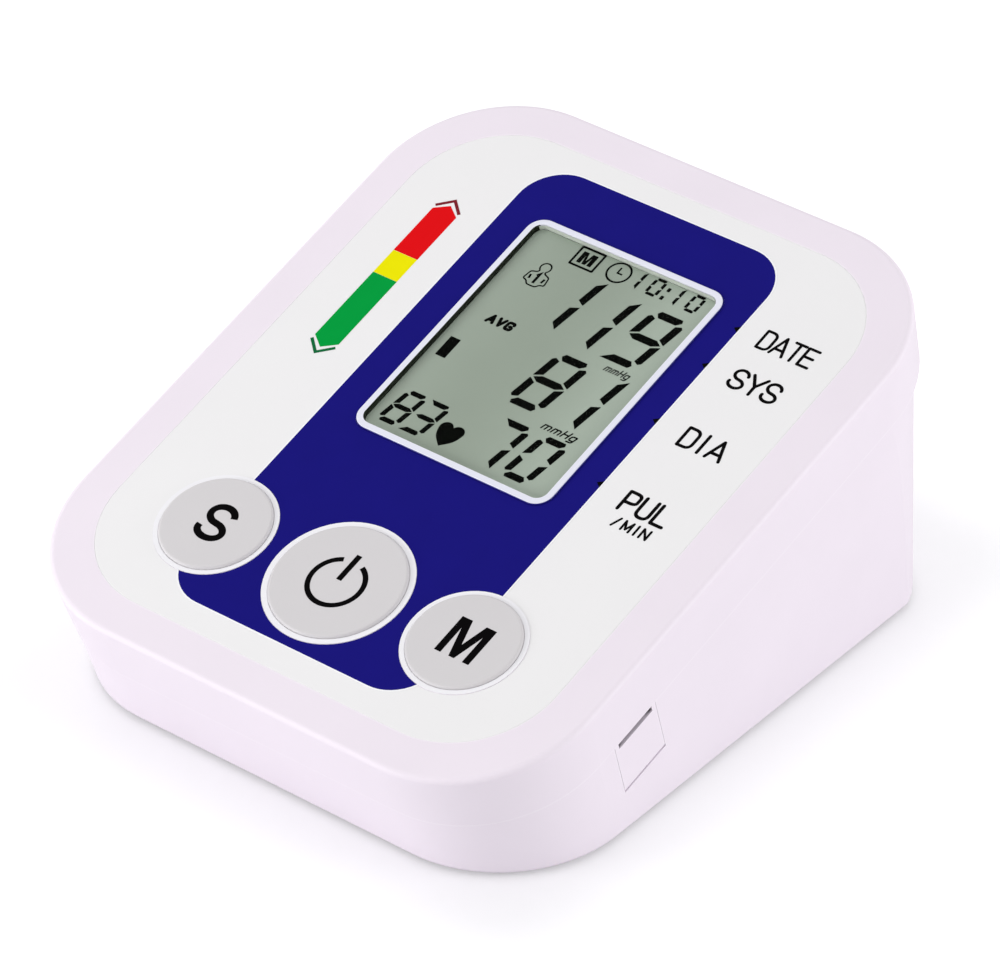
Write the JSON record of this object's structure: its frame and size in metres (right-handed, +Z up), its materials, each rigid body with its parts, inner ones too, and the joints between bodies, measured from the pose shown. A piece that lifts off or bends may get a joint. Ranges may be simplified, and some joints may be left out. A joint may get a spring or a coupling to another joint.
{
  "type": "upper-arm blood pressure monitor",
  "caption": "Desktop upper-arm blood pressure monitor: sloping face with display and keys, air pump inside, socket for a cuff's tube, hinged battery door and port cover.",
  "frame": {"origin": "centre of the object's footprint, at the underside of the feet", "axes": "+X to the right as the user reads it, +Y away from the user, +Z up"},
  "size_m": [0.103, 0.1222, 0.0591],
  "materials": {
    "case": "fine satin moulded plastic, lilac white",
    "face": "printed face sheet, white with a blue field",
    "display_rim": "polished white plastic",
    "window": "clear, polished",
    "display": "grey green display glass",
    "key": "satin light grey",
    "plunger": "black plastic",
    "board": "green solder mask",
    "chip": "black epoxy",
    "black_plastic": "black moulded plastic",
    "white_plastic": "natural white moulded plastic",
    "steel": "zinc plated",
    "motor_steel": "drawn steel can",
    "laminations": "stamped laminations",
    "contact": "nickel plated",
    "rubber": "grey soft rubber",
    "tube": "pale silicone",
    "cell": "printed cell jacket with bare metal ends"
  },
  "bodies": {
    "housing": {"upper_case": "case", "lower_case": "case", "face_plate": "face", "lcd_frame": "display_rim", "lcd_window": "window", "lcd_glass": "display", "lcd_connector": "rubber", "main_board": "board", "board_screws": "steel", "microcontroller": "chip", "buzzer": "black_plastic", "pressure_sensor": "white_plastic", "key_switches": "black_plastic", "power_socket": "black_plastic", "socket_contact": "contact", "port_cover_pin": "steel", "rubber_feet": "rubber", "case_screws": "steel", "air_socket": "white_plastic", "air_manifold": "white_plastic", "bleed_valve": "rubber", "air_tubes": "tube", "exhaust_valve": "motor_steel", "motor_can": "motor_steel", "motor_end_cap": "black_plastic", "pump_head": "black_plastic", "pump_diaphragm": "rubber", "pump_sleeve": "rubber", "battery_1": "cell", "battery_2": "cell", "battery_3": "cell", "battery_4": "cell", "contact_springs": "contact", "contact_plates": "contact"},
    "port_cover": {"port_cover": "case"},
    "battery_door": {"battery_door": "case"},
    "set_key": {"set_button": "key", "set_plunger": "plunger"},
    "power_key": {"power_button": "key", "power_plunger": "plunger"},
    "memory_key": {"memory_button": "key", "memory_plunger": "plunger"},
    "pump_rotor": {"motor_shaft": "steel", "armature": "laminations", "eccentric": "white_plastic"},
    "valve_plunger": {"valve_plunger": "black_plastic"}
  },
  "joints": [
    {"name": "set_key_press", "type": "slide", "parent": "housing", "child": "set_key", "axis": [0, 0.2924, -0.9563], "range_m": [0, 0.0006], "stiffness_N_per_m": 1500, "springref_m": -0.0004},
    {"name": "power_key_press", "type": "slide", "parent": "housing", "child": "power_key", "axis": [0, 0.2924, -0.9563], "range_m": [0, 0.0006], "stiffness_N_per_m": 1500, "springref_m": -0.0004},
    {"name": "memory_key_press", "type": "slide", "parent": "housing", "child": "memory_key", "axis": [0, 0.2924, -0.9563], "range_m": [0, 0.0006], "stiffness_N_per_m": 1500, "springref_m": -0.0004},
    {"name": "port_cover_hinge", "type": "hinge", "parent": "housing", "child": "port_cover", "pos_m": [0.0496, -0.02379, 0.01123], "axis": [0, 0.9563, 0.2924], "range_deg": [0, 95]},
    {"name": "battery_door_hinge", "type": "hinge", "parent": "housing", "child": "battery_door", "pos_m": [0, -0.0136, 0.0018], "axis": [-1, 0, 0], "range_deg": [0, 85]},
    {"name": "pump_motor_spin", "type": "hinge", "parent": "housing", "child": "pump_rotor", "pos_m": [0, 0.0334, 0.0314], "axis": [1, 0, 0], "continuous": true},
    {"name": "valve_plunger_slide", "type": "slide", "parent": "housing", "child": "valve_plunger", "axis": [0, -1, 0], "range_m": [0, 0.0015], "stiffness_N_per_m": 200, "springref_m": -0.0015}
  ]
}
